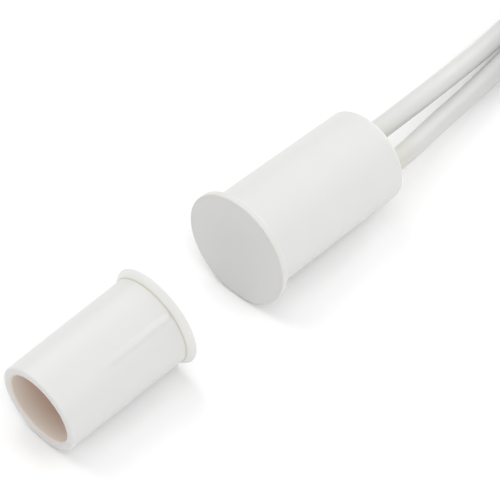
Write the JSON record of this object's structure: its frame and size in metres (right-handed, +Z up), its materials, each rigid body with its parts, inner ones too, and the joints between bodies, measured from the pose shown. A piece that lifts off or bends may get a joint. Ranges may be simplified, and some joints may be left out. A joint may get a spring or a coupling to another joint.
{
  "type": "magnetic door contact",
  "caption": "Recessed magnetic door contact: a white flanged reed switch capsule with two white leads, and its separate flanged magnet capsule, open at the back.",
  "frame": {"origin": "centre of the two capsules' footprint without the leads, on the surface they lie on", "axes": "+Z up, +Y from the magnet capsule to the switch capsule and on towards its leads, +X to the right of that"},
  "size_m": [0.019, 0.1159, 0.0113],
  "materials": {
    "white_plastic": "moulded, satin",
    "lead_pvc": "extruded insulation, soft sheen",
    "potting_resin": "cast, smooth",
    "cushion_rubber": "moulded, matt",
    "reed_glass": "clear, slightly green",
    "reed_alloy": "drawn and stamped",
    "solder": "soft sheen",
    "tinned_copper": "tinned",
    "sleeving": "shrunk, matt",
    "magnet_alloy": "sintered and ground",
    "magnet_glue": "cured, smooth",
    "tie_plastic": "moulded, satin"
  },
  "bodies": {
    "root": {"switch_housing": "white_plastic", "potting_resin": "potting_resin", "reed_cushion": "cushion_rubber", "reed_glass": "reed_glass", "front_reed": "reed_alloy", "rear_reed": "reed_alloy", "return_sleeve": "sleeving", "solder_joint_a": "solder", "solder_joint_b": "solder", "joint_sleeve_a": "sleeving", "joint_sleeve_b": "sleeving", "lead_a_core": "tinned_copper", "lead_b_core": "tinned_copper", "lead_a": "lead_pvc", "lead_b": "lead_pvc", "lead_hank": "lead_pvc", "hank_tie": "tie_plastic", "lead_a_stripped_end": "tinned_copper", "lead_b_stripped_end": "tinned_copper", "magnet_housing": "white_plastic", "magnet": "magnet_alloy", "magnet_glue": "magnet_glue"}
  },
  "joints": []
}
